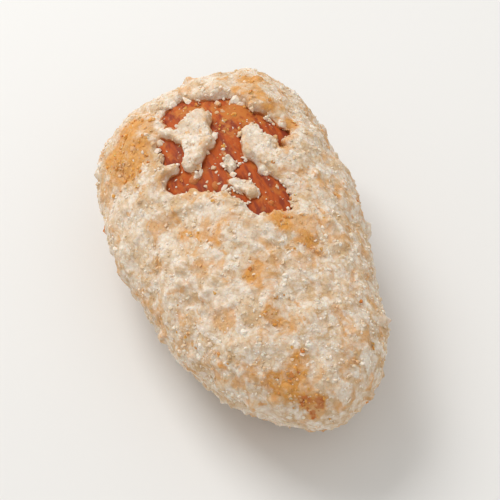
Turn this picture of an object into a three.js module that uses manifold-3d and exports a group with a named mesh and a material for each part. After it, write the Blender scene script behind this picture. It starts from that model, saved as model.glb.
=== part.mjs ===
// A toffee-coated almond: an almond under a crumbly, lumpy coat of toffee. On its upper side the coat has
// flaked off in a ragged window, where the almond's smooth skin shows, with islands of coat and crumbs
// still clinging inside it. Millimetres, +Z up. The almond lies on its broad side, +X towards its narrow
// end, with the origin on the flat spot that it rests on, under the middle of its bounding box.
import * as THREE from "three";
import { mergeVertices } from "three/addons/utils/BufferGeometryUtils.js";
import Module from "manifold-3d";

const wasm = await Module();
wasm.setup();

// ---------- the almond's size and form ----------
const LENGTH = 25.4;
const WIDTH = 14.8;
const HEIGHT = 11.2;
const TAPER = 0.13; // share of the width that is lost from the middle to the narrow end
const TOP_TAPER = 0.3; // the same for the height above the almond's middle
const UNDER_TAPER = 0.04; // and below it, where the almond lies level
const FULLNESS = 0.31; // how far the coat fills both ends out, against a plain egg
const COAT = 0.7; // thickness of the toffee coat, and so the depth of a bare patch
const ISLAND_DROP = 0.3; // how much lower the coat's islands are worn inside a bare patch
const FLAT_CUT = 0.25; // taken off the underside for the flat spot

// ---------- places on the surface ----------
// x runs along the almond, around is the angle round it in degrees: 0 on top, 90 on the +Y side. r is a
// radius.

// Where the coat is gone: the window in the top, row by row from the broad end, then a patch low on the
// +Y side.
const BARE_SPOTS = [
  { x: -8.3, around: -17, r: 1.1 },
  { x: -8.1, around: -8, r: 0.9 },
  { x: -7.3, around: -23, r: 0.8 },
  { x: -7.3, around: 0, r: 0.95 },
  { x: -7.2, around: 9, r: 0.9 },
  { x: -5.9, around: 2, r: 1.0 },
  { x: -6.4, around: 13, r: 0.9 },
  { x: -5.7, around: 20, r: 0.75 },
  { x: -5.9, around: -30, r: 1.1 },
  { x: -4.9, around: -29, r: 0.75 },
  { x: -4.8, around: 3, r: 1.0 },
  { x: -3.7, around: -9, r: 0.95 },
  { x: -3.4, around: 0, r: 0.6 },
  { x: -4.6, around: 23, r: 0.7 },
  { x: -4.6, around: 29, r: 0.75 },
  { x: -3.1, around: 24, r: 0.4 },
  { x: -3.3, around: -33, r: 0.8 },
  { x: -3.1, around: -26, r: 0.85 },
  { x: -2.5, around: -18, r: 0.95 },
  { x: -1.9, around: -9, r: 0.85 },
  { x: -2.1, around: 3, r: 0.75 },
  { x: -1.3, around: 7, r: 0.6 },
  { x: -0.6, around: -6, r: 0.5 },
  { x: -0.2, around: 11, r: 0.95 },
  { x: 0.7, around: 11, r: 0.75 },
  { x: 0.7, around: 0, r: 0.75 },
  { x: -4.9, around: 116, r: 1.1 },
  { x: -4.0, around: 128, r: 1.0 },
  { x: -2.5, around: 133, r: 0.8 },
  { x: -5.6, around: 134, r: 0.7 },
];
// Coat that still clings inside the window.
const ISLANDS = [
  { x: -6.4, around: -19, r: 0.6 },
  { x: -6.7, around: -9, r: 0.5 },
  { x: -5.6, around: -14, r: 0.7 },
  { x: -4.9, around: -17, r: 0.55 },
  { x: -6.8, around: -26, r: 0.35 },
  { x: -3.8, around: -22, r: 0.4 },
  { x: -3.0, around: -4, r: 0.42 },
  { x: -4.0, around: 11, r: 0.65 },
  { x: -3.3, around: 13, r: 0.55 },
  { x: -4.7, around: 12, r: 0.35 },
  { x: -2.8, around: 19, r: 0.45 },
  { x: -1.0, around: -1, r: 0.5 },
  { x: -1.3, around: -4, r: 0.3 },
  { x: -4.2, around: -31, r: 0.35 },
  { x: -3.0, around: -21, r: 0.22 },
];
// Swellings of the coat, and hollows where rise is below zero.
const LUMPS = [
  { x: 3.1, around: 84, r: 3.2, rise: -0.55 },
  { x: 8.2, around: 94, r: 3.2, rise: -0.7 },
  { x: 12.4, around: 144, r: 3.2, rise: 0.35 },
  { x: 10.1, around: -121, r: 3.2, rise: -0.4 },
  { x: 5.3, around: -107, r: 3.2, rise: 0.15 },
  { x: 1.1, around: -103, r: 3.2, rise: 0.25 },
  { x: -3.6, around: -98, r: 3.2, rise: 0.9 },
  { x: -9.8, around: -87, r: 3.2, rise: 0.6 },
  { x: -12.5, around: -32, r: 3.2, rise: -0.55 },
  { x: -11.2, around: 55, r: 3.2, rise: 0.45 },
  { x: 6.4, around: -16, r: 1.5, rise: 0.3 },
  { x: 4.9, around: -38, r: 1.4, rise: 0.25 },
  { x: 0.6, around: -34, r: 1.3, rise: -0.3 },
];

// ---------- how the coat breaks off ----------
const ISLAND_STRENGTH = 1.5; // how much more an island holds than a bare spot of its strength takes off
const MOST_BARE = 1.2; // overlapping bare spots add up to no more than this
const BARE_LEVEL = 0.5; // the strength of bare spots at which the coat ends
const RIM = 0.12; // how soft its edge is, in the same strength
const RAGGED = { spacing: 1.1, rise: 0.45 }; // how that edge wanders

// ---------- the coat's own unevenness ----------
const SEED = 11;
const CRAGS = [
  { spacing: 4.6, rise: 0.3 },
  { spacing: 2.2, rise: 0.2 },
  { spacing: 1.2, rise: 0.13 },
];

// ---------- crumbs stuck to the coat and in the window ----------
const LOOSE_CRUMBS = 56;
const CRUMB_RADIUS = { least: 0.3, most: 0.55 };
const CRUMB_SUNK = 0.35; // the share of its radius by which a crumb's middle lies below the surface
const WINDOW_CRUMBS = [
  { x: -3.9, around: -17, r: 0.36 },
  { x: -2.9, around: -24, r: 0.3 },
  { x: -7.8, around: 4, r: 0.3 },
  { x: -5.6, around: 16, r: 0.34 },
  { x: -1.9, around: -15, r: 0.3 },
  { x: 0.5, around: 7, r: 0.3 },
];

// ---------- how finely it is faceted ----------
const START_DETAIL = 3; // 20 * (START_DETAIL + 1)^2 triangles, before their edges are halved
const COAT_EDGE = 0.84; // the longest edge in the coat
const RIM_EDGE = 0.36; // the longest edge where the coat ends somewhere along it
const RIM_CHANGE = 0.3; // the change of bareness along such an edge
const HALVINGS = 6; // how often an edge can be halved

const COAT_COLOUR = "#d9bd9c";

// A repeatable number from 0 to 1 for a whole-numbered place.
function hashed(x, y, z) {
  let h = Math.imul(x, 374761393) + Math.imul(y, 668265263) + Math.imul(z, 1440662683) + SEED;
  h = Math.imul(h ^ (h >>> 15), 2246822519);
  h = Math.imul(h ^ (h >>> 13), 3266489917);
  return ((h ^ (h >>> 16)) >>> 0) / 2 ** 32;
}

// The pull of one lattice corner on a point that lies (fx, fy, fz) from it.
function cornerPull(ix, iy, iz, fx, fy, fz) {
  const side = Math.floor(hashed(ix, iy, iz) * 8);
  return (side & 1 ? fx : -fx) + (side & 2 ? fy : -fy) + (side & 4 ? fz : -fz);
}

// Smooth repeatable noise, from about -1 to 1, with bumps about one unit apart.
function noise(x, y, z) {
  const [ix, iy, iz] = [x, y, z].map(Math.floor);
  const [fx, fy, fz] = [x - ix, y - iy, z - iz];
  const fade = (f) => f * f * f * (f * (f * 6 - 15) + 10);
  const share = (far, f) => (far ? fade(f) : 1 - fade(f));
  let sum = 0;
  for (let corner = 0; corner < 8; corner++) {
    const [cx, cy, cz] = [corner & 1, (corner >> 1) & 1, corner >> 2];
    const weight = share(cx, fx) * share(cy, fy) * share(cz, fz);
    sum += weight * cornerPull(ix + cx, iy + cy, iz + cz, fx - cx, fy - cy, fz - cz);
  }
  return sum;
}

function octave(point, { spacing, rise }) {
  return rise * noise(point.x / spacing, point.y / spacing, point.z / spacing);
}

// The smooth coated egg: its point in a direction from its middle.
function eggPoint(direction) {
  const ends = 1 + FULLNESS * direction.x ** 2;
  const heightTaper = direction.z > 0 ? TOP_TAPER : UNDER_TAPER;
  return new THREE.Vector3(
    (LENGTH / 2) * direction.x,
    (WIDTH / 2) * direction.y * (ends - TAPER * direction.x),
    (HEIGHT / 2) * direction.z * (ends - heightTaper * direction.x),
  );
}

// The way out of the egg at one of its points.
function eggNormal(point) {
  return new THREE.Vector3(point.x / LENGTH ** 2, point.y / WIDTH ** 2, point.z / HEIGHT ** 2).normalize();
}

// The direction from the middle to a place on the surface.
function directionTo({ x, around }) {
  const along = THREE.MathUtils.clamp(x / (LENGTH / 2), -1, 1);
  const turn = THREE.MathUtils.degToRad(around);
  const ring = Math.sqrt(1 - along ** 2);
  return new THREE.Vector3(along, ring * Math.sin(turn), ring * Math.cos(turn));
}

const placed = (spots) => spots.map((spot) => ({ ...spot, at: eggPoint(directionTo(spot)) }));
const bareSpots = placed(BARE_SPOTS);
const islands = placed(ISLANDS);
const lumps = placed(LUMPS);

// How strongly spots reach a point, each fading out round its place.
function reach(spots, point) {
  const fade = ({ at, r, rise = 1 }) => rise * Math.exp(-at.distanceToSquared(point) / r ** 2);
  return spots.reduce((sum, spot) => sum + fade(spot), 0);
}

// From 0, under the coat, to 1, where the almond's own skin shows.
function bareness(point) {
  const taken = reach(bareSpots, point);
  const held = ISLAND_STRENGTH * reach(islands, point);
  const strength = Math.min(taken, MOST_BARE) - held + octave(point, RAGGED) * Math.min(taken, 1);
  return THREE.MathUtils.smoothstep(strength, BARE_LEVEL - RIM, BARE_LEVEL + RIM);
}

// How far the finished surface stands out from the smooth egg.
function relief(point, bare) {
  const crags = CRAGS.reduce((sum, crag) => sum + octave(point, crag), 0);
  const worn = ISLAND_DROP * Math.min(reach(islands, point), 1);
  return THREE.MathUtils.lerp(reach(lumps, point) + crags - worn, -COAT, bare);
}

// A place on the surface, with its point on the smooth egg and how bare it is there.
function spotIn(direction) {
  const point = eggPoint(direction);
  return { direction, point, bare: bareness(point) };
}

function surfacePoint({ point, bare }) {
  return point.clone().addScaledVector(eggNormal(point), relief(point, bare));
}

// ---------- the faceted skin ----------

function isTooLong(one, middle, other) {
  const bare = [one.bare, middle.bare, other.bare];
  const crossesRim = Math.max(...bare) - Math.min(...bare) > RIM_CHANGE;
  return one.point.distanceTo(other.point) > (crossesRim ? RIM_EDGE : COAT_EDGE);
}

// The one to four faces that a face becomes when some of its edges are halved. half(a, b) gives the middle
// corner of an edge, or null where it stays whole.
function splitFace(face, half) {
  const halves = face.map((corner, i) => half(corner, face[(i + 1) % 3]));
  const count = halves.filter((middle) => middle !== null).length;
  if (count === 0) return [face];
  // The face is turned so that its first edge is a halved one and, of two, its last isn't.
  const turn = [0, 1, 2].find((i) => halves[i] !== null && (count !== 2 || halves[(i + 2) % 3] === null));
  const [a, b, c] = [0, 1, 2].map((i) => face[(turn + i) % 3]);
  const [ab, bc, ca] = [0, 1, 2].map((i) => halves[(turn + i) % 3]);
  if (count === 1) return [[a, ab, c], [ab, b, c]];
  if (count === 2) return [[ab, b, bc], [a, ab, bc], [a, bc, c]];
  return [[a, ab, ca], [ab, b, bc], [ca, bc, c], [ab, bc, ca]];
}

// Halves every edge that is too long for its place, adding its middle to the corners.
function refineFaces(corners, faces) {
  const middles = new Map();
  const half = (a, b) => {
    const edge = `${Math.min(a, b)} ${Math.max(a, b)}`;
    if (!middles.has(edge)) {
      const middle = spotIn(corners[a].direction.clone().add(corners[b].direction).normalize());
      middles.set(edge, isTooLong(corners[a], middle, corners[b]) ? corners.push(middle) - 1 : null);
    }
    return middles.get(edge);
  };
  return faces.flatMap((face) => splitFace(face, half));
}

// ---------- solids ----------

// A geometry without its normals and texture places, its corners shared between its faces.
function joined(geometry) {
  const bare = geometry.clone();
  bare.deleteAttribute("normal");
  bare.deleteAttribute("uv");
  return mergeVertices(bare, 1e-4);
}

// A closed geometry as a solid that can be joined and cut.
function solidOf(geometry) {
  const { attributes, index } = joined(geometry);
  const [vertProperties, triVerts] = [attributes.position.array, new Uint32Array(index.array)];
  return new wasm.Manifold(new wasm.Mesh({ numProp: 3, vertProperties, triVerts }));
}

// A solid back as a geometry.
function geometryOf(solid) {
  const { vertProperties, triVerts } = solid.getMesh();
  const geometry = new THREE.BufferGeometry();
  geometry.setAttribute("position", new THREE.BufferAttribute(vertProperties, 3));
  geometry.setIndex(new THREE.BufferAttribute(triVerts, 1));
  geometry.computeVertexNormals();
  return geometry;
}

// The corners of a geometry as vectors.
function cornersOf({ attributes: { position } }) {
  const corner = (_, i) => new THREE.Vector3().fromBufferAttribute(position, i);
  return Array.from({ length: position.count }, corner);
}

function coatedBody() {
  const ball = joined(new THREE.IcosahedronGeometry(1, START_DETAIL));
  const corners = cornersOf(ball).map((corner) => spotIn(corner.normalize()));
  let faces = Array.from({ length: ball.index.count / 3 }, (_, i) =>
    [0, 1, 2].map((k) => ball.index.getX(3 * i + k)),
  );
  for (let halving = 0; halving < HALVINGS; halving++) faces = refineFaces(corners, faces);
  const geometry = new THREE.BufferGeometry().setFromPoints(corners.map(surfacePoint));
  geometry.setIndex(faces.flat());
  return solidOf(geometry);
}

// One angular crumb, partly sunk into the surface that it clings to.
function crumb(direction, radius, number) {
  const spot = spotIn(direction);
  const centre = surfacePoint(spot).addScaledVector(eggNormal(spot.point), -CRUMB_SUNK * radius);
  const turn = new THREE.Euler(...[1, 2, 3].map((axis) => 2 * Math.PI * hashed(number, axis, 5)));
  const geometry = joined(new THREE.IcosahedronGeometry(radius, 0));
  const corners = cornersOf(geometry).map((corner, i) =>
    corner.multiplyScalar(0.75 + 0.5 * hashed(number, i, 7)).applyEuler(turn).add(centre),
  );
  return solidOf(new THREE.BufferGeometry().setFromPoints(corners).setIndex(geometry.index));
}

function windowCrumbs() {
  return WINDOW_CRUMBS.map((spot, i) => crumb(directionTo(spot), spot.r, LOOSE_CRUMBS + i));
}

// Loose crumbs round the whole almond, each shifted a little from an even spiral.
function looseCrumbs() {
  const goldenTurn = Math.PI * (3 - Math.sqrt(5));
  return Array.from({ length: LOOSE_CRUMBS }, (_, i) => {
    const along = 1 - (2 * (i + hashed(i, 1, 9))) / LOOSE_CRUMBS;
    const turn = goldenTurn * i + 1.5 * hashed(i, 2, 9);
    const ring = Math.sqrt(1 - along ** 2);
    const radius = THREE.MathUtils.lerp(CRUMB_RADIUS.least, CRUMB_RADIUS.most, hashed(i, 3, 9));
    return crumb(new THREE.Vector3(along, ring * Math.sin(turn), ring * Math.cos(turn)), radius, i);
  });
}

// What lies under the plane of the flat spot.
function belowFlatSpot() {
  const block = new THREE.BoxGeometry(2 * LENGTH, 2 * WIDTH, HEIGHT);
  return solidOf(block.translate(0, 0, FLAT_CUT - HEIGHT));
}

function coatedAlmond() {
  const whole = wasm.Manifold.union([coatedBody(), ...windowCrumbs(), ...looseCrumbs()]);
  const geometry = geometryOf(whole.subtract(belowFlatSpot()));
  geometry.computeBoundingBox();
  const { min, max } = geometry.boundingBox;
  geometry.translate(-(min.x + max.x) / 2, -(min.y + max.y) / 2, -min.z);
  const coat = new THREE.MeshStandardMaterial({ color: COAT_COLOUR, roughness: 0.9, metalness: 0 });
  const mesh = new THREE.Mesh(geometry, coat);
  mesh.name = "toffee_coated_almond";
  return mesh;
}

const almond = new THREE.Group();
almond.add(coatedAlmond());

export default almond;
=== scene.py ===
"""A toffee-coated almond: the nut, its crumbly coat with the bare window in it, and the crumbs on it.

The coat's form repeats the solid's: a smooth egg, with lumps, crags and a ragged window that are placed by x
along the almond and by the angle round it. Lengths here are millimetres until a mesh is made.
"""

import math
from itertools import combinations

import bpy
import numpy as np
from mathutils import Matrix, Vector


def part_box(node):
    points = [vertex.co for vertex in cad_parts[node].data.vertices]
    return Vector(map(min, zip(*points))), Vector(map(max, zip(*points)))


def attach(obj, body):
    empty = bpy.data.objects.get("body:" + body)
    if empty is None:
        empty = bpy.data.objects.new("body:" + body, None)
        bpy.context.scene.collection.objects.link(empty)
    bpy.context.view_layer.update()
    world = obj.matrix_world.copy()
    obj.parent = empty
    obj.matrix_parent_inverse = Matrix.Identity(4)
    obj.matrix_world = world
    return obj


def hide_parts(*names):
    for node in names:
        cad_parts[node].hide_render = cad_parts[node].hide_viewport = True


bl_info = {
    "name": "Toffee-Coated Almond",
    "version": (1, 0, 0),
    "blender": (4, 5, 0),
    "location": "View3D > Sidebar > Almond",
    "description": "Makes a toffee-coated almond with a bare window, its crumbs and a plain studio",
    "category": "Add Mesh",
}

NODE = "toffee_coated_almond"
MM = 0.001  # metres in a millimetre

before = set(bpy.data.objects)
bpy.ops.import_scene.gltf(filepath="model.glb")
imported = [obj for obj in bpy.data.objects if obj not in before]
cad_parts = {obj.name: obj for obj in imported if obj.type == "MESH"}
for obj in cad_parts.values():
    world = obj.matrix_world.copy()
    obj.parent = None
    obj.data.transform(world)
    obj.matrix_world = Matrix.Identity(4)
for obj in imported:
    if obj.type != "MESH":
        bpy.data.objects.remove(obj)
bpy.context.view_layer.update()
node_low, node_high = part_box(NODE)

# ---------- the smooth egg ----------
LENGTH = 25.4
WIDTH = 14.8
HEIGHT = 11.2
TAPER = 0.13
TOP_TAPER = 0.3
UNDER_TAPER = 0.04
FULLNESS = 0.31
FLAT_CUT = 0.25  # how much of its underside is cut off, for the flat spot that the almond rests on
OFF_CENTRE = (-0.274, 0.409)  # the egg's middle, from the middle of the whole almond's box

# ---------- places on it: x along the almond, angle round it in degrees from the top, radius ----------
# Where the coat has flaked off: the window, and last a smaller patch on the far side.
BARE_SPOTS = [
    (-8.3, -17, 1.1),
    (-8.1, -8, 0.9),
    (-7.3, -23, 0.8),
    (-7.3, 0, 0.95),
    (-7.2, 9, 0.9),
    (-5.9, 2, 1.0),
    (-6.4, 13, 0.9),
    (-5.7, 20, 0.75),
    (-5.9, -30, 1.1),
    (-4.9, -29, 0.75),
    (-4.8, 3, 1.0),
    (-3.7, -9, 0.95),
    (-3.4, 0, 0.6),
    (-4.6, 23, 0.7),
    (-4.6, 29, 0.75),
    (-3.1, 24, 0.4),
    (-3.3, -33, 0.8),
    (-3.1, -26, 0.85),
    (-2.5, -18, 0.95),
    (-1.9, -9, 0.85),
    (-2.1, 3, 0.75),
    (-1.3, 7, 0.6),
    (-0.6, -6, 0.5),
    (-0.2, 11, 0.95),
    (0.7, 11, 0.75),
    (0.7, 0, 0.75),
    (-4.9, 116, 1.1),
    (-4.0, 128, 1.0),
    (-2.5, 133, 0.8),
    (-5.6, 134, 0.7),
]
# Coat that still clings inside the window.
ISLANDS = [
    (-6.4, -19, 0.6),
    (-6.7, -9, 0.5),
    (-5.6, -14, 0.7),
    (-4.9, -17, 0.55),
    (-6.8, -26, 0.35),
    (-3.8, -22, 0.4),
    (-3.0, -4, 0.42),
    (-4.0, 11, 0.65),
    (-3.3, 13, 0.55),
    (-4.7, 12, 0.35),
    (-2.8, 19, 0.45),
    (-1.0, -1, 0.5),
    (-1.3, -4, 0.3),
    (-4.2, -31, 0.35),
    (-3.0, -21, 0.22),
]
# Swellings and hollows, each with its rise.
LUMPS = [
    (3.1, 84, 3.2, -0.55),
    (8.2, 94, 3.2, -0.7),
    (12.4, 144, 3.2, 0.35),
    (10.1, -121, 3.2, -0.4),
    (5.3, -107, 3.2, 0.15),
    (1.1, -103, 3.2, 0.25),
    (-3.6, -98, 3.2, 0.9),
    (-9.8, -87, 3.2, 0.6),
    (-12.5, -32, 3.2, -0.55),
    (-11.2, 55, 3.2, 0.45),
    (6.4, -16, 1.5, 0.3),
    (4.9, -38, 1.4, 0.25),
    (0.6, -34, 1.3, -0.3),
]
# Where the coat is thin, golden toffee, each with its strength.
GOLDEN_SPOTS = [
    (-8.7, -47, 0.9, 0.9),
    (-7.8, -56, 0.9, 1.2),
    (-6.9, -50, 1.0, 1.2),
    (-7.8, -67, 0.6, 0.8),
    (-5.8, -50, 0.7, 1.1),
    (-7.0, -62, 0.7, 1.0),
    (-6.0, -61, 0.6, 0.9),
    (-6.9, -41, 0.5, 0.8),
    (-8.9, -36, 0.6, 0.5),
    (-9.3, 27, 0.7, 0.9),
    (-8.7, 32, 0.6, 0.8),
    (-9.5, 14, 0.4, 0.6),
    (-8.2, 18, 0.5, 0.7),
    (-7.3, 24, 0.7, 0.9),
    (-6.3, 28, 0.5, 0.8),
    (-5.0, 36, 0.5, 0.9),
    (-3.1, 24, 0.45, 1.0),
    (1.9, 6, 0.7, 1.1),
    (2.6, 7, 0.5, 0.8),
    (1.3, 9, 0.4, 0.8),
    (3.5, 14, 0.6, 0.6),
    (4.2, 19, 0.9, 0.6),
    (0.5, 45, 0.8, 0.4),
    (3.0, 49, 0.7, 0.4),
    (0.4, -39, 0.55, 0.8),
    (1.1, -32, 0.5, 0.8),
    (1.8, -25, 0.5, 0.9),
    (4.5, -15, 0.6, 0.9),
    (4.9, -19, 0.4, 0.7),
    (6.0, -14, 0.8, 0.35),
    (7.4, -17, 0.6, 0.9),
    (8.1, -16, 0.4, 0.7),
    (10.2, -15, 0.5, 1.0),
    (10.9, -22, 0.5, 1.2),
    (11.0, -33, 0.7, 1.3),
    (10.6, -44, 0.6, 1.1),
    (11.6, -40, 0.7, 1.1),
    (12.1, -34, 0.6, 1.2),
    (12.3, -20, 0.45, 0.9),
    (9.9, -52, 0.4, 0.6),
    (8.3, -64, 0.6, 0.5),
    (5.4, -81, 0.6, 0.5),
    (10.2, 38, 0.7, 0.5),
    (-6.0, 150, 1.2, 0.9),
    (4.0, 170, 1.1, 0.8),
    (7.5, 140, 1.0, 0.9),
    (9.0, -140, 1.1, 0.8),
    (-2.0, -150, 1.2, 0.7),
    (0.5, 105, 0.9, 0.6),
    (-10.5, -130, 1.1, 0.8),
    (-11.0, 120, 1.1, 0.7),
    (3.0, 120, 0.7, 0.6),
    (-9.0, 85, 0.8, 0.7),
    (-3.0, -120, 0.8, 0.6),
    (10.0, 110, 0.8, 0.7),
]
# Where the coat is palest, beside its islands.
PALE_SPOTS = [
    (5.0, -37, 1.0, 0.7),
    (2.6, -10, 0.8, 0.8),
    (5.1, 6, 0.9, 0.7),
    (5.6, -52, 0.9, 0.6),
    (2.4, -23, 0.7, 0.6),
    (-1.4, 37, 1.0, 0.6),
    (9.1, -29, 0.9, 0.6),
    (-8.7, -55, 0.5, 0.5),
    (-0.4, -27, 0.8, 0.9),
    (0.4, -17, 0.7, 0.7),
]
# Where the toffee is almost red.
RED_SPOTS = [
    (12.0, -36, 0.55, 0.9),
    (12.3, -22, 0.5, 0.8),
    (12.5, -60, 0.4, 0.8),
    (-7.9, 158, 0.3, 1.0),
    (6.4, 148, 0.3, 1.0),
]
# Where a film of toffee lightens the bare skin.
FILM_SPOTS = [
    (-7.3, 12, 1.0, 1.0),
    (-6.4, 6, 0.9, 0.8),
    (-8.3, -14, 0.8, 0.7),
    (-7.9, -3, 0.8, 0.7),
    (-5.9, 18, 0.8, 0.6),
    (-5.2, 2, 0.8, 0.5),
    (-3.9, -3, 0.7, 0.4),
    (-2.0, -7, 0.5, 0.7),
    (-3.6, -30, 0.8, 0.3),
]
# The crumbs that stand out in the window and beside it, and the largest golden grains.
BIG_CRUMBS = [
    (-3.9, -17, 0.36),
    (-2.9, -24, 0.3),
    (-7.8, 4, 0.3),
    (-5.6, 16, 0.34),
    (-1.9, -15, 0.3),
    (0.5, 7, 0.3),
]
GOLDEN_CRUMBS = [
    (-5.1, -99, 0.4),
    (10.8, -27, 0.22),
    (7.2, -20, 0.2),
]

# ---------- how the coat breaks off, and its own unevenness, as spacings with their rises ----------
SEED = 11
COAT = 0.7  # the coat's thickness, and so how far the skin lies below the egg
ISLAND_DROP = 0.3  # how much lower the islands are
ISLAND_STRENGTH = 1.5
MOST_BARE = 1.2  # where bare spots overlap, they add up to no more than this
BARE_LEVEL = 0.5
RIM = 0.12  # on each side of that level, the share over which the coat falls away
RAGGED = (1.1, 0.45)
CRAGS = [(4.6, 0.3), (2.2, 0.2), (1.2, 0.13)]

# ---------- finer relief ----------
BALL_STEPS = 84  # steps along each side of an icosahedron's face, for the coat before it is remeshed
KERNEL_STEPS = 56  # the same for the nut
CRUST_VOXEL = 0.132
NODULES = (0.95, 0.07)  # the rounded nodules that the coat is built of
GRAINS = (0.42, 0.055)  # the grains on them
FRAYED = (0.45, 0.5)  # finer raggedness of the coat's broken edges
EDGE_WEAR = 0.34  # how far the coat thins towards them
TUCK = 1.2  # how far the coat dips below the nut's skin where it is bare, for a steep edge
BARE_DEPTH = 0.58  # how far the skin lies below the egg there, where it bulges a little
WRINKLES = [(0.9, 0.05), (0.45, 0.03)]
WRINKLE_STRETCH = 5.0
# Thin edges of coat that have lifted, and cracks: from one place to another, then how wide and how high,
# which is below 0 for a crack.
CREASES = [
    ((-10.2, -40), (-8.5, -27), 0.32, -0.45),
    ((-3.5, -43), (-2.3, -45), 0.2, -0.35),
    ((-1.5, -40), (-0.5, -21), 0.22, 0.22),
    ((-0.4, -16), (0.5, -5), 0.2, 0.16),
    ((0.6, -14), (2.6, -4), 0.16, 0.2),
    ((1.8, -22), (3.6, -8), 0.16, 0.16),
    ((2.4, -9), (3.6, -14), 0.14, 0.14),
    ((-6.5, -25), (-7.8, -27), 0.2, 0.2),
]

# ---------- crumbs: their least and greatest radii, and the share of its radius that each is sunk ----------
SPREAD_CRUMBS = 56  # larger crumbs spread round the whole almond, as many as the solid has
SPREAD_RADII = (0.3, 0.55)
SPREAD_SHIFT = 1.5  # how far each may be turned from its place on an even spiral, in radians
CRUST_RADII = (0.14, 0.3)
CRUST_SUNK = 0.35
LOOSE_RADII = (0.06, 0.16)
RIM_RADII = (0.08, 0.32)
LOOSE_SUNK = 0.3
GOLDEN_RADII = (0.07, 0.16)
GOLDEN_SUNK = 0.4
ANGULAR = 0.35  # how far a crumb's corners stand out or in, as a share of its radius
MOSTLY_SMALL = 2.2  # the power that makes small crumbs common and large ones few

# ---------- the studio: each light's azimuth and elevation in degrees, distance and size in metres ----------
KEY_LIGHT = ((290, 50), 0.22, 0.12)
FILL_LIGHT = ((110, 40), 0.25, 0.2)
SKY_COLOUR = (1.0, 0.99, 0.97, 1.0)
FLOOR_REACH = 0.6


# ---------- repeatable noise ----------


def hashed(x, y, z):
    """A repeatable number from 0 to 1 for whole-numbered places."""
    x, y, z = (np.atleast_1d(v).astype(np.int64).astype(np.uint32) for v in (x, y, z))
    h = x * np.uint32(374761393) + y * np.uint32(668265263) + z * np.uint32(1440662683) + np.uint32(SEED)
    h = (h ^ (h >> np.uint32(15))) * np.uint32(2246822519)
    h = (h ^ (h >> np.uint32(13))) * np.uint32(3266489917)
    return (h ^ (h >> np.uint32(16))).astype(float) / 2**32


def noise(points):
    """Smooth noise, from about -1 to 1, with bumps about one unit apart."""
    cell = np.floor(points).astype(np.int64)
    inside = points - cell
    fade = inside**3 * (inside * (inside * 6 - 15) + 10)
    total = np.zeros(len(points))
    for corner in np.ndindex(2, 2, 2):
        weight = np.where(corner, fade, 1 - fade).prod(axis=1)
        side = np.floor(hashed(*(cell + corner).T) * 8).astype(int)
        signs = np.where(side[:, None] >> np.arange(3) & 1, 1, -1)
        total += weight * ((inside - corner) * signs).sum(axis=1)
    return total


def octave(points, spacing, rise):
    """Noise with bumps of one spacing and rise."""
    return rise * noise(points / spacing)


def rounded_cells(points, spacing):
    """From 0 between packed round grains to 1 on their tops."""
    edge = 0.6  # the squared distance from a grain's middle to the gaps round it
    scaled = points / spacing
    cell = np.floor(scaled).astype(np.int64)
    nearest = np.full(len(points), np.inf)
    for step in np.ndindex(3, 3, 3):
        other = cell + step - 1
        x, y, z = other.T
        middle = other + np.stack([hashed(x, y, z + k * 7919) for k in (1, 2, 3)], axis=1)
        nearest = np.minimum(nearest, ((scaled - middle) ** 2).sum(axis=1))
    return np.clip(1 - nearest / edge, 0, 1)


# ---------- the egg ----------


def unit(vectors):
    """The same directions, each one long."""
    return vectors / np.linalg.norm(vectors, axis=1, keepdims=True)


def egg_points(directions):
    """The smooth egg's points in these unit directions: broader and higher at its -X end."""
    x, y, z = directions.T
    ends = 1 + FULLNESS * x**2
    height_taper = np.where(z > 0, TOP_TAPER, UNDER_TAPER)
    across = WIDTH / 2 * y * (ends - TAPER * x)
    return np.stack([LENGTH / 2 * x, across, HEIGHT / 2 * z * (ends - height_taper * x)], axis=1)


def egg_directions(points):
    """The direction of the egg point near each point, for points close to the egg."""
    x = np.clip(points[:, 0] / (LENGTH / 2), -1, 1)
    ends = 1 + FULLNESS * x**2
    height_taper = np.where(points[:, 2] > 0, TOP_TAPER, UNDER_TAPER)
    y = points[:, 1] / (WIDTH / 2 * (ends - TAPER * x))
    z = points[:, 2] / (HEIGHT / 2 * (ends - height_taper * x))
    return unit(np.stack([x, y, z], axis=1))


def egg_normals(points):
    """Which way is out, near enough, for points on or close to the egg."""
    return unit(points / np.array([LENGTH, WIDTH, HEIGHT]) ** 2)


def foot_on_egg(points):
    """The egg's point straight below each point, and how far the point stands out from it."""
    height = np.zeros(len(points))
    for _ in range(4):
        foot = egg_points(egg_directions(points - height[:, None] * egg_normals(points)))
        height = ((points - foot) * egg_normals(foot)).sum(axis=1)
    return foot, height


def place(x, around):
    """The egg's point at x along the almond and an angle round it from the top."""
    along = np.clip(x / (LENGTH / 2), -1, 1)
    turn = math.radians(around)
    ring = math.sqrt(1 - along**2)
    return egg_points(np.array([[along, ring * math.sin(turn), ring * math.cos(turn)]]))[0]


def reach(spots, points):
    """How strongly spots reach each point, each spot fading out round its place."""
    total = np.zeros(len(points))
    for x, around, radius, *strength in spots:
        distance = ((points - place(x, around)) ** 2).sum(axis=1)
        total += (strength[0] if strength else 1) * np.exp(-distance / radius**2)
    return total


def smooth_step(values, low, high):
    """From 0 at low to 1 at high, without a corner at either."""
    t = np.clip((values - low) / (high - low), 0, 1)
    return t * t * (3 - 2 * t)


def bare_strength(points):
    """How strongly the coat has been broken off. Above BARE_LEVEL it is gone."""
    taken = reach(BARE_SPOTS, points)
    held = ISLAND_STRENGTH * reach(ISLANDS, points)
    ragged = octave(points, *RAGGED) + octave(points, *FRAYED)
    return np.minimum(taken, MOST_BARE) - held + ragged * np.minimum(taken, 1)


def share_bare(strength):
    """From 0 to 1 across the coat's broken edge, which lies where the strength is BARE_LEVEL."""
    return smooth_step(strength, BARE_LEVEL - RIM, BARE_LEVEL + RIM)


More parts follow.
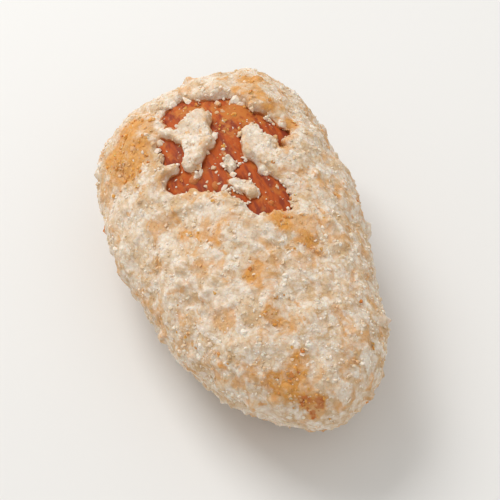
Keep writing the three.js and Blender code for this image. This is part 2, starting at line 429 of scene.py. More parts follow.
def bareness(points):
    """From 0, under the coat, to 1, where the nut's own skin shows."""
    return share_bare(bare_strength(points))


def creases(points):
    """How high the lifted edges of coat stand."""
    total = np.zeros(len(points))
    for start, end, width, rise in CREASES:
        a, b = place(*start), place(*end)
        along = np.clip((points - a) @ (b - a) / ((b - a) @ (b - a)), 0, 1)
        distance = ((points - a - along[:, None] * (b - a)) ** 2).sum(axis=1)
        total += rise * np.exp(-distance / width**2)
    return total


def lumpiness(points):
    """The coat's lumps and crags."""
    return reach(LUMPS, points) + sum(octave(points, *crag) for crag in CRAGS)


def toffee_masks(points):
    """Where the toffee is pale, golden and red."""
    pale = reach(ISLANDS, points) + reach(PALE_SPOTS, points)
    return {"pale": pale, "golden": reach(GOLDEN_SPOTS, points), "red": reach(RED_SPOTS, points)}


def coat_height(points, tuck=0.0):
    """How far the surface stands out from the egg; where it is bare, the coat runs tuck below the skin."""
    strength = bare_strength(points)
    worn = ISLAND_DROP * np.minimum(reach(ISLANDS, points), 1)
    worn += EDGE_WEAR * smooth_step(strength, 0, BARE_LEVEL)
    coated = lumpiness(points) - worn + creases(points)
    bare = share_bare(strength)
    return coated * (1 - bare) - (BARE_DEPTH + tuck) * bare


def skin_height(points):
    """How far the nut's skin stands out from the egg: lower where hollows in the coat would bare it."""
    squeezed = points / np.array([WRINKLE_STRETCH, 1, 1])
    wrinkles = sum(octave(squeezed, *wrinkle) for wrinkle in WRINKLES)
    bare = bareness(points)
    hollows = np.minimum(lumpiness(points), 0) * (1 - bare)
    return wrinkles + hollows - COAT * (1 - bare) - BARE_DEPTH * bare


# ---------- meshes ----------


def face_grid(corners, steps):
    """One face of an icosahedron as a grid of points, with its triangles facing outwards."""
    if np.linalg.det(corners) < 0:
        corners = corners[[0, 2, 1]]
    rows = [(i, j) for i in range(steps + 1) for j in range(steps + 1 - i)]
    index = {row: k for k, row in enumerate(rows)}
    weights = np.array([(steps - i - j, i, j) for i, j in rows]) / steps
    up = [(index[i, j], index[i + 1, j], index[i, j + 1]) for i, j in rows if i + j < steps]
    down = [
        (index[i + 1, j], index[i + 1, j + 1], index[i, j + 1]) for i, j in rows if i + j < steps - 1
    ]
    return weights @ corners, np.array(up + down)


def ball(steps):
    """An even ball of unit directions and its triangles: an icosahedron whose edges are split into steps."""
    golden = (1 + 5**0.5) / 2
    signs = [(1, 1), (1, -1), (-1, 1), (-1, -1)]
    corners = np.array(
        [(0, a, b * golden) for a, b in signs]
        + [(a, b * golden, 0) for a, b in signs]
        + [(b * golden, 0, a) for a, b in signs]
    )
    edge = 2.0
    near = np.abs(np.linalg.norm(corners[:, None] - corners[None], axis=2) - edge) < 0.01
    trios = combinations(range(len(corners)), 3)
    triangles = [list(trio) for trio in trios if all(near[pair] for pair in combinations(trio, 2))]
    grids = [face_grid(corners[triangle], steps) for triangle in triangles]
    size = len(grids[0][0])
    points = unit(np.concatenate([grid for grid, _ in grids]))
    faces = np.concatenate([grid + k * size for k, (_, grid) in enumerate(grids)])
    _, first, shared = np.unique(np.round(points, 7), axis=0, return_index=True, return_inverse=True)
    return points[first], shared.ravel()[faces]


def egg_middle():
    """The egg's middle in the frame, in millimetres."""
    x, y = ((low + high) / 2 / MM for low, high in zip(node_low[:2], node_high[:2]))
    above_floor = HEIGHT / 2 - FLAT_CUT
    return np.array([x + OFF_CENTRE[0], y + OFF_CENTRE[1], node_low[2] / MM + above_floor])


def rested(points):
    """The same points, with those below the floor moved up to it."""
    return np.maximum(points, (-np.inf, -np.inf, FLAT_CUT - HEIGHT / 2))


def new_piece(name, points, faces, masks):
    """A piece from points in millimetres about the egg's middle, with its masks as point attributes."""
    mesh = bpy.data.meshes.new(name)
    mesh.from_pydata(((points + egg_middle()) * MM).tolist(), [], faces.tolist())
    for mask, values in masks.items():
        mesh.attributes.new(mask, "FLOAT", "POINT").data.foreach_set("value", values.astype(np.float32))
    piece = bpy.data.objects.new(name, mesh)
    bpy.context.scene.collection.objects.link(piece)
    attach(piece, "root")
    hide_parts(NODE)
    return piece


def remeshed(points, faces, voxel):
    """Overlapping closed meshes as one even skin of quads: its points, faces and normals."""
    mesh = bpy.data.meshes.new("crust_draft")
    mesh.from_pydata(points.tolist(), [], faces.tolist())
    draft = bpy.data.objects.new("crust_draft", mesh)
    bpy.context.scene.collection.objects.link(draft)
    remesh = draft.modifiers.new("Crust", "REMESH")
    remesh.mode = "VOXEL"
    remesh.voxel_size = voxel
    skin = draft.evaluated_get(bpy.context.evaluated_depsgraph_get()).to_mesh()
    new_points = np.empty(len(skin.vertices) * 3, np.float32)
    new_faces = np.empty(len(skin.polygons) * 4, np.int32)
    normals = np.empty(len(skin.vertices) * 3, np.float32)
    skin.vertices.foreach_get("co", new_points)
    skin.polygons.foreach_get("vertices", new_faces)
    skin.vertex_normals.foreach_get("vector", normals)
    bpy.data.objects.remove(draft)
    bpy.data.meshes.remove(mesh)
    return new_points.reshape(-1, 3).astype(float), new_faces.reshape(-1, 4), normals.reshape(-1, 3)


# ---------- crumbs ----------


def random_turns(draws, count):
    """Random rotation matrices."""
    w, x, y, z = unit(draws.normal(size=(count, 4))).T
    rows = [
        [1 - 2 * (y * y + z * z), 2 * (x * y - z * w), 2 * (x * z + y * w)],
        [2 * (x * y + z * w), 1 - 2 * (x * x + z * z), 2 * (y * z - x * w)],
        [2 * (x * z - y * w), 2 * (y * z + x * w), 1 - 2 * (x * x + y * y)],
    ]
    return np.moveaxis(np.array(rows), 2, 0)


def crumb_mesh(draws, centres, radii, squash, steps):
    """Many angular crumbs as one mesh: its points, its faces and each point's crumb number."""
    shape, triangles = ball(steps)
    count, size = len(centres), len(shape)
    turns = random_turns(draws, count)
    rough = 1 + ANGULAR * draws.uniform(-1, 1, (count, size, 1))
    stretch = 1 + squash * draws.uniform(-1, 1, (count, 1, 3))
    local = shape[None] * rough * stretch * radii[:, None, None]
    points = np.einsum("nij,nkj->nki", turns, local) + centres[:, None]
    faces = triangles[None] + size * np.arange(count)[:, None, None]
    return points.reshape(-1, 3), faces.reshape(-1, 3), np.repeat(np.arange(count), size)


def scattered(draws, count, tries, wanted):
    """Up to count feet on the egg, from so many tries, each kept with the chance that wanted(feet) gives."""
    feet = egg_points(unit(draws.normal(size=(tries, 3))))
    chance = wanted(feet)
    return feet[draws.uniform(size=tries) < chance][:count]


def rim_chance(feet):
    """Keeps the feet that lie along the coat's broken edges."""
    bare = bareness(feet)
    inside = 0.02
    return ((bare > inside) & (bare < 1 - inside)) * 1.0


def on_surface(feet, radii, sunk):
    """Crumb middles, each sunk by a share of its radius into the coat or the bare skin."""
    height = coat_height(feet) - sunk * radii
    return feet + height[:, None] * egg_normals(feet)


def spread_crumbs():
    """The larger crumbs' feet, each shifted a little from an even spiral round the egg, and their radii."""
    number = np.arange(SPREAD_CRUMBS)
    golden_angle = math.pi * (3 - math.sqrt(5))
    along = 1 - 2 * (number + hashed(number, 1, 9)) / SPREAD_CRUMBS
    turn = golden_angle * number + SPREAD_SHIFT * hashed(number, 2, 9)
    ring = np.sqrt(1 - along**2)
    feet = egg_points(np.stack([along, ring * np.sin(turn), ring * np.cos(turn)], axis=1))
    least, most = SPREAD_RADII
    return feet, least + (most - least) * hashed(number, 3, 9)


def skewed_radii(draws, count, least, most):
    """Radii with many small ones and few large ones."""
    return least + (most - least) * draws.uniform(size=count) ** MOSTLY_SMALL


# ---------- node trees ----------

TOFFEE_COLOURS = ("Cream", "Pale", "Tan", "Golden", "Amber")


def new_material(name):
    """A material with a Principled shader: the material, its node tree and the shader."""
    material = bpy.data.materials.new(name)
    material.use_nodes = True
    tree = material.node_tree
    tree.nodes.clear()
    output = tree.nodes.new("ShaderNodeOutputMaterial")
    shader = tree.nodes.new("ShaderNodeBsdfPrincipled")
    tree.links.new(shader.outputs["BSDF"], output.inputs["Surface"])
    return material, tree, shader


def add_node(tree, kind, inputs=None, **settings):
    """A node with its settings. inputs maps its sockets to values or to other nodes' outputs."""
    node = tree.nodes.new(kind)
    for name, value in settings.items():
        setattr(node, name, value)
    for socket, value in (inputs or {}).items():
        if isinstance(value, bpy.types.NodeSocket):
            tree.links.new(value, node.inputs[socket])
        else:
            node.inputs[socket].default_value = value
    return node


def mix_colours(tree, factor, a, b, blend="MIX"):
    """Colour a where the factor is 0, and b where it is 1. Its colour sockets have numbers 6, 7 and 2."""
    inputs = {0: factor, 6: a, 7: b}
    return add_node(tree, "ShaderNodeMix", inputs, data_type="RGBA", blend_type=blend).outputs[2]


def maths(tree, operation, *values):
    """One sum, on values or other nodes' outputs."""
    return add_node(tree, "ShaderNodeMath", dict(enumerate(values)), operation=operation).outputs[0]


def ramp(tree, value, low, high):
    """A smooth step from 0 at low to 1 at high."""
    inputs = {"Value": value, "From Min": low, "From Max": high}
    return add_node(tree, "ShaderNodeMapRange", inputs, interpolation_type="SMOOTHSTEP").outputs["Result"]


def millimetres(tree):
    """The piece's own coordinates, in millimetres."""
    inputs = {0: add_node(tree, "ShaderNodeTexCoord").outputs["Object"], "Scale": 1 / MM}
    return add_node(tree, "ShaderNodeVectorMath", inputs, operation="SCALE").outputs["Vector"]


def raised(tree, value, speckle, amount):
    """A mask whose edges are broken up by a speckle, which varies round one half."""
    shift = maths(tree, "MULTIPLY", maths(tree, "SUBTRACT", speckle, 0.5), amount)
    return maths(tree, "ADD", value, shift)


def noise_texture(tree, vector, spacing, detail=2.0, distortion=0.0):
    """Noise from 0 to 1, with patches about one spacing apart."""
    inputs = {"Vector": vector, "Scale": 1 / spacing, "Detail": detail, "Roughness": 0.6}
    inputs["Distortion"] = distortion
    return add_node(tree, "ShaderNodeTexNoise", inputs).outputs["Fac"]


def mask(tree, name):
    """One of the piece's own masks."""
    return add_node(tree, "ShaderNodeAttribute", attribute_name=name).outputs["Fac"]


def bump(tree, shader, height, distance, strength):
    """Relief finer than the mesh, as deep as a distance in millimetres."""
    inputs = {"Height": height, "Distance": distance * MM, "Strength": strength}
    tree.links.new(add_node(tree, "ShaderNodeBump", inputs).outputs["Normal"], shader.inputs["Normal"])


def translucent(shader, weight, depth, radius=(1.0, 0.55, 0.3)):
    """Lets light through the surface to a depth in millimetres."""
    shader.inputs["Subsurface Weight"].default_value = weight
    shader.inputs["Subsurface Radius"].default_value = radius
    shader.inputs["Subsurface Scale"].default_value = depth * MM


def new_group(name, inputs, outputs):
    """An empty shader group with its inputs and outputs, both given as names with their kinds."""
    group = bpy.data.node_groups.new(name, "ShaderNodeTree")
    for names, in_out in ((inputs, "INPUT"), (outputs, "OUTPUT")):
        for socket, kind in names.items():
            group.interface.new_socket(socket, in_out=in_out, socket_type=kind)
    return group, group.nodes.new("NodeGroupInput").outputs, group.nodes.new("NodeGroupOutput").inputs


def crumb_grain_group():
    """Sugar-like grain: a tone for each grain, painted shade in the gaps between them, and their height."""
    name = "Crumb Grain"
    if name in bpy.data.node_groups:
        return bpy.data.node_groups[name]
    inputs = {"Vector": "NodeSocketVector", "Grain Size": "NodeSocketFloat"}
    outputs = dict.fromkeys(("Tone", "Gap Shade", "Height"), "NodeSocketFloat")
    group, given, result = new_group(name, inputs, outputs)
    density = maths(group, "DIVIDE", 1.0, given["Grain Size"])
    wander = add_node(group, "ShaderNodeTexNoise", {"Vector": given["Vector"], "Scale": 3.0})
    shift = {0: wander.outputs["Color"], 1: (0.3, 0.3, 0.3), 2: given["Vector"]}
    bent = add_node(group, "ShaderNodeVectorMath", shift, operation="MULTIPLY_ADD")
    cells = add_node(group, "ShaderNodeTexVoronoi", {"Vector": bent.outputs["Vector"], "Scale": density})
    tone = add_node(group, "ShaderNodeSeparateColor", {"Color": cells.outputs["Color"]})
    finer = noise_texture(group, given["Vector"], 0.1, 3.0)
    height = maths(group, "SUBTRACT", finer, cells.outputs["Distance"])
    group.links.new(tone.outputs["Red"], result["Tone"])
    # Painted shade: this output rises towards each grain's edge, where the coat's colour is darkened.
    group.links.new(ramp(group, cells.outputs["Distance"], 0.35, 0.85), result["Gap Shade"])
    group.links.new(height, result["Height"])
    return group


def toffee_mottle_group():
    """The toffee's colour at a place: cream, marbled pale and tan, golden and red where its masks say so."""
    name = "Toffee Mottle"
    if name in bpy.data.node_groups:
        return bpy.data.node_groups[name]
    inputs = {"Vector": "NodeSocketVector", **dict.fromkeys(TOFFEE_COLOURS, "NodeSocketColor")}
    inputs |= dict.fromkeys(("Pale Mask", "Golden Mask", "Deep Mask"), "NodeSocketFloat")
    group, given, result = new_group(name, inputs, {"Colour": "NodeSocketColor", "Gloss": "NodeSocketFloat"})
    where = given["Vector"]
    speckle = noise_texture(group, where, 0.6, 4.0)
    stains = ramp(group, noise_texture(group, where, 1.9, 4.0, 1.0), 0.46, 0.62)
    base = mix_colours(group, maths(group, "MULTIPLY", stains, 0.7), given["Cream"], given["Tan"])
    marbling = ramp(group, noise_texture(group, where, 0.9, 4.0, 0.8), 0.42, 0.58)
    base = mix_colours(group, maths(group, "MULTIPLY", marbling, 0.95), base, given["Pale"])
    tint = ramp(group, noise_texture(group, where, 1.5, 4.0, 0.6), 0.5, 0.63)
    base = mix_colours(group, maths(group, "MULTIPLY", tint, 0.6), base, given["Golden"])
    pale = ramp(group, raised(group, given["Pale Mask"], speckle, 1.0), 0.2, 1.0)
    base = mix_colours(group, maths(group, "MULTIPLY", pale, 0.8), base, given["Pale"])
    clusters = ramp(group, noise_texture(group, where, 3.2, 1.0), 0.45, 0.62)
    flecks = ramp(group, noise_texture(group, where, 0.55, 2.0), 0.6, 0.7)
    flecks = maths(group, "MULTIPLY", flecks, maths(group, "MULTIPLY_ADD", clusters, 0.5, 0.2))
    golden = ramp(group, raised(group, given["Golden Mask"], speckle, 1.8), 0.1, 0.8)
    cream_veins = ramp(group, noise_texture(group, where, 0.7, 4.0, 0.8), 0.36, 0.56)
    golden = maths(group, "MULTIPLY", golden, maths(group, "MULTIPLY_ADD", cream_veins, 0.35, 0.65))
    golden = maths(group, "MAXIMUM", golden, flecks)
    base = mix_colours(group, golden, base, given["Golden"])
    deep = ramp(group, raised(group, given["Deep Mask"], speckle, 2.0), 0.5, 0.85)
    group.links.new(mix_colours(group, deep, base, given["Amber"]), result["Colour"])
    group.links.new(golden, result["Gloss"])
    return group


def crumb_grain(tree, where, size):
    """Places the grain in a material, with grains of one size in millimetres."""
    inputs = {"Vector": where, "Grain Size": size}
    return add_node(tree, "ShaderNodeGroup", inputs, node_tree=crumb_grain_group()).outputs


def toffee_mottle(tree, where, colours, deep_mask):
    """Places the toffee's colour in a material, with the colours chosen and the piece's own masks."""
    inputs = {name: getattr(colours, name.lower()) for name in TOFFEE_COLOURS}
    inputs |= {"Vector": where, "Pale Mask": mask(tree, "pale"), "Golden Mask": mask(tree, "golden")}
    inputs["Deep Mask"] = deep_mask
    return add_node(tree, "ShaderNodeGroup", inputs, node_tree=toffee_mottle_group()).outputs


# ---------- materials ----------


def coat_material(colours):
    """Cream, crumbly toffee, golden where it is thin, with painted shade in its gaps and hollows."""
    material, tree, shader = new_material("Cream Toffee Coat")
    where = millimetres(tree)
    grains = crumb_grain(tree, where, 0.3)
    deep = maths(tree, "MAXIMUM", mask(tree, "red"), mask(tree, "thin"))
    toffee = toffee_mottle(tree, where, colours, deep)
    toned = maths(tree, "MULTIPLY", grains["Tone"], 0.3)
    base = mix_colours(tree, toned, toffee["Colour"], colours.tan)
    # Painted shade: the gaps between grains and the low parts of the coat's relief are darkened towards tan.
    painted_gap_shade = maths(tree, "MAXIMUM", grains["Gap Shade"], mask(tree, "hollow_shade"))
    base = mix_colours(tree, maths(tree, "MULTIPLY", painted_gap_shade, 0.3), base, colours.tan, "MULTIPLY")
    tree.links.new(base, shader.inputs["Base Color"])
    roughness = maths(tree, "SUBTRACT", 0.85, maths(tree, "MULTIPLY", toffee["Gloss"], 0.3))
    tree.links.new(roughness, shader.inputs["Roughness"])
    shader.inputs["Specular IOR Level"].default_value = 0.3
    translucent(shader, 0.2, 0.4)
    bump(tree, shader, grains["Height"], 0.075, 0.8)
    return material


def skin_material(colours):
    """The nut's red-brown skin, streaked along its length under a thin film of toffee."""
    material, tree, shader = new_material("Almond Skin")
    where = millimetres(tree)
    squeeze = add_node(tree, "ShaderNodeVectorMath", {0: where, 1: (0.25, 1.0, 1.0)}, operation="MULTIPLY")
    streaks = noise_texture(tree, squeeze.outputs["Vector"], 0.45, 4.0)
    speckle = noise_texture(tree, where, 0.5, 4.0)
    base = mix_colours(tree, ramp(tree, streaks, 0.36, 0.58), colours.dark_skin, colours.skin)
    film = ramp(tree, raised(tree, mask(tree, "film"), speckle, 3.2), 0.3, 1.0)
    base = mix_colours(tree, maths(tree, "MULTIPLY", film, 0.85), base, colours.film)
    patches = ramp(tree, noise_texture(tree, where, 0.9, 3.0), 0.56, 0.68)
    base = mix_colours(tree, maths(tree, "MULTIPLY", patches, 0.5), base, colours.film)
    dust = ramp(tree, noise_texture(tree, where, 0.3, 3.0), 0.62, 0.72)
    base = mix_colours(tree, maths(tree, "MULTIPLY", dust, 0.4), base, colours.tan)
    tree.links.new(base, shader.inputs["Base Color"])
    tree.links.new(ramp(tree, streaks, -0.9, 1.3), shader.inputs["Roughness"])
    shader.inputs["Specular IOR Level"].default_value = 0.25
    bump(tree, shader, streaks, 0.06, 0.7)
    return material


def crumb_material(colours):
    """Loose crumbs of the toffee that they lie on, each a little paler or darker."""
    material, tree, shader = new_material("Toffee Crumbs")
    where = millimetres(tree)
    tone = mask(tree, "tone")
    toffee = toffee_mottle(tree, where, colours, mask(tree, "red"))
    base = mix_colours(tree, ramp(tree, tone, 0.5, 1.2), toffee["Colour"], colours.pale)
    base = mix_colours(tree, ramp(tree, tone, 0.4, -0.3), base, colours.tan)
    tree.links.new(base, shader.inputs["Base Color"])
    shader.inputs["Roughness"].default_value = 0.85
    shader.inputs["Specular IOR Level"].default_value = 0.25
    translucent(shader, 0.2, 0.25)
    bump(tree, shader, noise_texture(tree, where, 0.12), 0.03, 0.6)
    return material


def golden_grain_material(colours):
    """Glassy grains of golden toffee."""
    material, tree, shader = new_material("Golden Toffee Grains")
    where = millimetres(tree)
    clouds = noise_texture(tree, where, 0.3, 2.0)
    base = mix_colours(tree, mask(tree, "tone"), colours.golden, colours.amber)
    base = mix_colours(tree, ramp(tree, clouds, 0.55, 0.75), base, colours.cream)
    tree.links.new(base, shader.inputs["Base Color"])
    tree.links.new(ramp(tree, clouds, -0.5, 1.6), shader.inputs["Roughness"])
    translucent(shader, 0.5, 0.5, (1.0, 0.5, 0.15))
    bump(tree, shader, clouds, 0.02, 0.5)
    return material


def floor_material(colours):
    """A matt, pale studio floor with the faintest unevenness."""
    material, tree, shader = new_material("Pale Studio Floor")
    where = millimetres(tree)
    base = mix_colours(tree, noise_texture(tree, where, 60.0), colours.floor, colours.floor_shade)
    tree.links.new(base, shader.inputs["Base Color"])
    shader.inputs["Roughness"].default_value = 0.9
    return material


# ---------- settings ----------


def colour_setting(name, description, default):
    return bpy.props.FloatVectorProperty(
        name=name, description=description, subtype="COLOR", size=4, min=0.0, max=1.0, default=(*default, 1.0)
    )


def length_setting(name, description, default, least=0.0):
    return bpy.props.FloatProperty(
        name=name, description=description, default=default, min=least, unit="LENGTH", precision=5
    )


def angle_setting(name, description, degrees):
    return bpy.props.FloatProperty(
        name=name, description=description, default=math.radians(degrees), unit="ROTATION"
    )


def power_setting(name, description, default):
    return bpy.props.FloatProperty(name=name, description=description, default=default, min=0.0)


def count_setting(name, description, default):
    return bpy.props.IntProperty(name=name, description=description, default=default, min=0)


class AlmondColours(bpy.types.PropertyGroup):
    cream: colour_setting("Cream", "The coat's main colour", (0.77, 0.61, 0.44))
    pale: colour_setting("Pale", "The coat's palest grains", (0.88, 0.79, 0.68))
    tan: colour_setting("Tan", "The coat's darker patches and gaps", (0.61, 0.40, 0.205))
    golden: colour_setting("Golden", "Toffee where the coat is thin or glassy", (0.73, 0.33, 0.066))
    amber: colour_setting("Amber", "Toffee right on the skin", (0.56, 0.16, 0.032))
    film: colour_setting("Film", "A thin film of toffee over the skin", (0.55, 0.185, 0.035))
    skin: colour_setting("Skin", "The nut's own skin", (0.46, 0.085, 0.013))
    dark_skin: colour_setting("Dark skin", "The skin's dark streaks", (0.24, 0.034, 0.010))
    floor: colour_setting("Floor", "The studio floor", (0.80, 0.79, 0.77))
    floor_shade: colour_setting("Floor shade", "The floor's faint unevenness", (0.77, 0.76, 0.74))


class AlmondCoat(bpy.types.PropertyGroup):
    nodule_rise: length_setting("Nodule rise", "Height of the coat's rounded nodules", NODULES[1] * MM)
    grain_rise: length_setting("Grain rise", "Height of the grains on the nodules", GRAINS[1] * MM)
    crust_crumbs: count_setting("Crust crumbs", "Crumbs that are baked into the coat", 620)
    rim_crumbs: count_setting("Rim crumbs", "Crumbs along the coat's broken edges", 270)
    loose_crumbs: count_setting("Loose crumbs", "Small crumbs scattered over the almond", 7000)
    golden_grains: count_setting("Golden grains", "Glassy grains in the golden patches and the window", 300)


class AlmondStudio(bpy.types.PropertyGroup):
    azimuth: angle_setting("Azimuth", "Where the camera stands round the almond", 68.6)
    elevation: angle_setting("Elevation", "How far the camera looks down", 54.5)
    lens: bpy.props.FloatProperty(
        name="Lens", description="Focal length in millimetres", default=135.0, min=1.0, unit="CAMERA"
    )
    seen_width: length_setting("Seen width", "Width of the picture at the almond", 0.031, 0.001)
    key_power: power_setting("Key light", "Power of the main light in watts", 0.315)
    fill_power: power_setting("Fill light", "Power of the softer side light in watts", 0.05)
    sky: power_setting("Sky", "Strength of the light from all round", 0.63)


# ---------- operators ----------


class ALMOND_OT_kernel(bpy.types.Operator):
    """Makes the nut itself, whose wrinkled skin shows where the coat has flaked off"""

    bl_idname = "almond.kernel"
    bl_label = "Almond Kernel"

    def execute(self, context):
        directions, faces = ball(KERNEL_STEPS)
        feet = egg_points(directions)
        points = feet + skin_height(feet)[:, None] * egg_normals(feet)
        piece = new_piece("almond_kernel", points, faces, {"film": reach(FILM_SPOTS, feet)})
        piece.data.shade_smooth()
        piece.data.materials.append(skin_material(context.scene.almond_colours))
        return {"FINISHED"}


class ALMOND_OT_coat(bpy.types.Operator):
    """Makes the crumbly toffee coat, with its bare window, islands and baked-in crumbs"""

    bl_idname = "almond.coat"
    bl_label = "Toffee Coat"

    def execute(self, context):
        settings = context.scene.almond_coat
        draws = np.random.default_rng(SEED)
        directions, faces = ball(BALL_STEPS)
        feet = egg_points(directions)
        body = feet + coat_height(feet, TUCK)[:, None] * egg_normals(feet)
        spread, spread_radii = spread_crumbs()
        named = np.array([place(x, around) for x, around, _ in BIG_CRUMBS])
        named_radii = np.array([radius for _, _, radius in BIG_CRUMBS])
        crust = [
            self.crumbs(draws, spread, spread_radii),
            self.crumbs(draws, named, named_radii),
            self.small_crumbs(draws, settings.crust_crumbs),
        ]
        all_points, all_faces = [body], [faces]
        for points, triangles, _ in crust:
            all_faces.append(triangles + sum(len(p) for p in all_points))
            all_points.append(points)
        points, quads, normals = remeshed(np.concatenate(all_points), np.concatenate(all_faces), CRUST_VOXEL)
        relief = settings.nodule_rise / MM * (rounded_cells(points, NODULES[0]) - 0.5)
        relief += settings.grain_rise / MM * (rounded_cells(points, GRAINS[0]) - 0.5)
        points = rested(points + relief[:, None] * normals)
        piece = new_piece("toffee_coat", points, quads, self.masks(points, relief))
        piece.data.shade_smooth()
        piece.data.materials.append(coat_material(context.scene.almond_colours))
        return {"FINISHED"}

    def crumbs(self, draws, feet, radii):
        return crumb_mesh(draws, on_surface(feet, radii, CRUST_SUNK), radii, squash=0.3, steps=2)

    def small_crumbs(self, draws, count):
        feet = scattered(draws, count, 40 * count, lambda at: 1 - bareness(at))
        return self.crumbs(draws, feet, skewed_radii(draws, len(feet), *CRUST_RADII))

    def masks(self, points, relief):
        """Where the toffee is pale, golden and red, thin over the skin, and low, for painted shade."""
        feet, height = foot_on_egg(points)
        return {
            **toffee_masks(feet),
            "thin": 1 - smooth_step(height - skin_height(feet), 0.05, 0.35),
            # Painted shade: the low parts of the relief, which the coat's colour darkens.
            "hollow_shade": smooth_step(-relief, 0.0, 0.07),
        }


class ALMOND_OT_crumbs(bpy.types.Operator):
    """Scatters small loose crumbs of the coat over the almond and into its window"""

    bl_idname = "almond.crumbs"
    bl_label = "Loose Crumbs"

    def execute(self, context):
        settings = context.scene.almond_coat
        draws = np.random.default_rng(SEED + 1)
        fine = scattered(draws, settings.loose_crumbs, 4 * settings.loose_crumbs, self.chance)
        rim = scattered(draws, settings.rim_crumbs, 40 * settings.rim_crumbs, rim_chance)
        feet = np.concatenate([fine, rim])
        fine_radii = skewed_radii(draws, len(fine), *LOOSE_RADII)
        radii = np.concatenate([fine_radii, skewed_radii(draws, len(rim), *RIM_RADII)])
        centres = on_surface(feet, radii, LOOSE_SUNK)
        points, faces, crumb = crumb_mesh(draws, centres, radii, squash=0.55, steps=1)
        masks = {"tone": draws.uniform(size=len(feet)), **toffee_masks(feet)}
        masks = {name: values[crumb] for name, values in masks.items()}
        piece = new_piece("loose_crumbs", rested(points), faces, masks)
        piece.data.materials.append(crumb_material(context.scene.almond_colours))
        return {"FINISHED"}

    def chance(self, feet):
        """Fewer lie in the window than on the coat."""
        return 1 - 0.78 * bareness(feet)


class ALMOND_OT_golden_grains(bpy.types.Operator):
    """Scatters glassy grains of golden toffee over the golden patches and the window's film"""

    bl_idname = "almond.golden_grains"
    bl_label = "Golden Grains"

    def execute(self, context):
        count = context.scene.almond_coat.golden_grains
        draws = np.random.default_rng(SEED + 2)
        feet = scattered(draws, count, 30 * count, self.chance)
        radii = skewed_radii(draws, len(feet), *GOLDEN_RADII)
        feet = np.concatenate([feet, [place(x, around) for x, around, _ in GOLDEN_CRUMBS]])
        radii = np.concatenate([radii, [radius for _, _, radius in GOLDEN_CRUMBS]])
        centres = on_surface(feet, radii, GOLDEN_SUNK)
        points, faces, grain = crumb_mesh(draws, centres, radii, squash=0.3, steps=2)
        tones = draws.uniform(size=len(feet))[grain] ** 2
        piece = new_piece("golden_grains", rested(points), faces, {"tone": tones})
        piece.data.materials.append(golden_grain_material(context.scene.almond_colours))
        return {"FINISHED"}

    def chance(self, feet):
        """Most lie in the golden patches, some on the film in the window, and a few anywhere."""
        return 0.01 + 0.5 * reach(GOLDEN_SPOTS, feet) + 0.35 * reach(FILM_SPOTS, feet) * bareness(feet)


def direction_from(azimuth, elevation):
    """From the almond towards a camera or light. Azimuth 0 stands on the -Y side, and 90 degrees on +X."""
    level = math.cos(elevation)
    return Vector((math.sin(azimuth) * level, -math.cos(azimuth) * level, math.sin(elevation)))


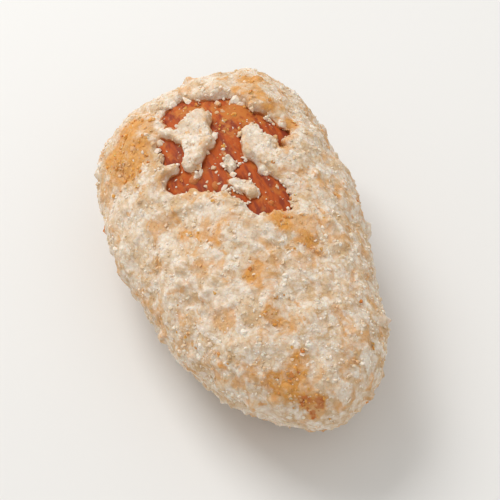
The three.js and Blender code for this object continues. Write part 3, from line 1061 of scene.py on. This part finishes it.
class ALMOND_OT_studio(bpy.types.Operator):
    """Sets up the pale floor, the soft lights and the camera"""

    bl_idname = "almond.studio"
    bl_label = "Studio"

    def execute(self, context):
        studio = context.scene.almond_studio
        middle = (Vector(node_low) + Vector(node_high)) / 2
        self.floor(context)
        self.sky(context, studio.sky)
        self.soft_light(context, "key_light", middle, *KEY_LIGHT, studio.key_power)
        self.soft_light(context, "fill_light", middle, *FILL_LIGHT, studio.fill_power)
        self.camera(context, middle, studio)
        context.scene.view_settings.view_transform = "Standard"
        return {"FINISHED"}

    def floor(self, context):
        corners = [(FLOOR_REACH * x, FLOOR_REACH * y, 0) for x, y in ((-1, -1), (1, -1), (1, 1), (-1, 1))]
        mesh = bpy.data.meshes.new("studio_floor")
        mesh.from_pydata(corners, [], [(0, 1, 2, 3)])
        mesh.materials.append(floor_material(context.scene.almond_colours))
        floor = bpy.data.objects.new("studio_floor", mesh)
        context.scene.collection.objects.link(floor)

    def sky(self, context, strength):
        world = bpy.data.worlds.new("Soft Sky")
        world.use_nodes = True
        background = world.node_tree.nodes["Background"]
        background.inputs["Color"].default_value = SKY_COLOUR
        background.inputs["Strength"].default_value = strength
        context.scene.world = world

    def soft_light(self, context, name, target, towards, distance, size, power):
        """A square light at an azimuth and elevation in degrees from the target, facing it."""
        data = bpy.data.lights.new(name, "AREA")
        data.size = size
        data.energy = power
        light = bpy.data.objects.new(name, data)
        back = direction_from(*(math.radians(angle) for angle in towards))
        light.location = target + distance * back
        light.rotation_euler = back.to_track_quat("Z", "Y").to_euler()
        context.scene.collection.objects.link(light)

    def camera(self, context, target, studio):
        data = bpy.data.cameras.new("camera")
        data.lens = studio.lens
        distance = studio.seen_width * studio.lens / data.sensor_width
        data.clip_start = distance / 20
        data.clip_end = distance * 40
        camera = bpy.data.objects.new("camera", data)
        back = direction_from(studio.azimuth, studio.elevation)
        camera.location = target + distance * back
        camera.rotation_euler = back.to_track_quat("Z", "Y").to_euler()
        context.scene.collection.objects.link(camera)
        context.scene.camera = camera


class VIEW3D_PT_toffee_almond(bpy.types.Panel):
    """The almond's settings and the buttons that make each piece"""

    bl_label = "Toffee-Coated Almond"
    bl_space_type = "VIEW_3D"
    bl_region_type = "UI"
    bl_category = "Almond"

    def draw(self, context):
        scene = context.scene
        for group in (scene.almond_coat, scene.almond_colours, scene.almond_studio):
            box = self.layout.box()
            for name in group.bl_rna.properties.keys():
                if name not in ("rna_type", "name"):
                    box.prop(group, name)
        for operator in OPERATORS:
            self.layout.operator(operator.bl_idname)


GROUPS = {"almond_coat": AlmondCoat, "almond_colours": AlmondColours, "almond_studio": AlmondStudio}
OPERATORS = (
    ALMOND_OT_kernel,
    ALMOND_OT_coat,
    ALMOND_OT_crumbs,
    ALMOND_OT_golden_grains,
    ALMOND_OT_studio,
)


def register():
    for cls in (*GROUPS.values(), *OPERATORS, VIEW3D_PT_toffee_almond):
        bpy.utils.register_class(cls)
    for name, group in GROUPS.items():
        setattr(bpy.types.Scene, name, bpy.props.PointerProperty(type=group))


def unregister():
    for name in GROUPS:
        delattr(bpy.types.Scene, name)
    for cls in reversed((*GROUPS.values(), *OPERATORS, VIEW3D_PT_toffee_almond)):
        bpy.utils.unregister_class(cls)


def main():
    register()
    bpy.ops.almond.kernel()
    bpy.ops.almond.coat()
    bpy.ops.almond.crumbs()
    bpy.ops.almond.golden_grains()
    bpy.ops.almond.studio()


if __name__ == "__main__":
    main()
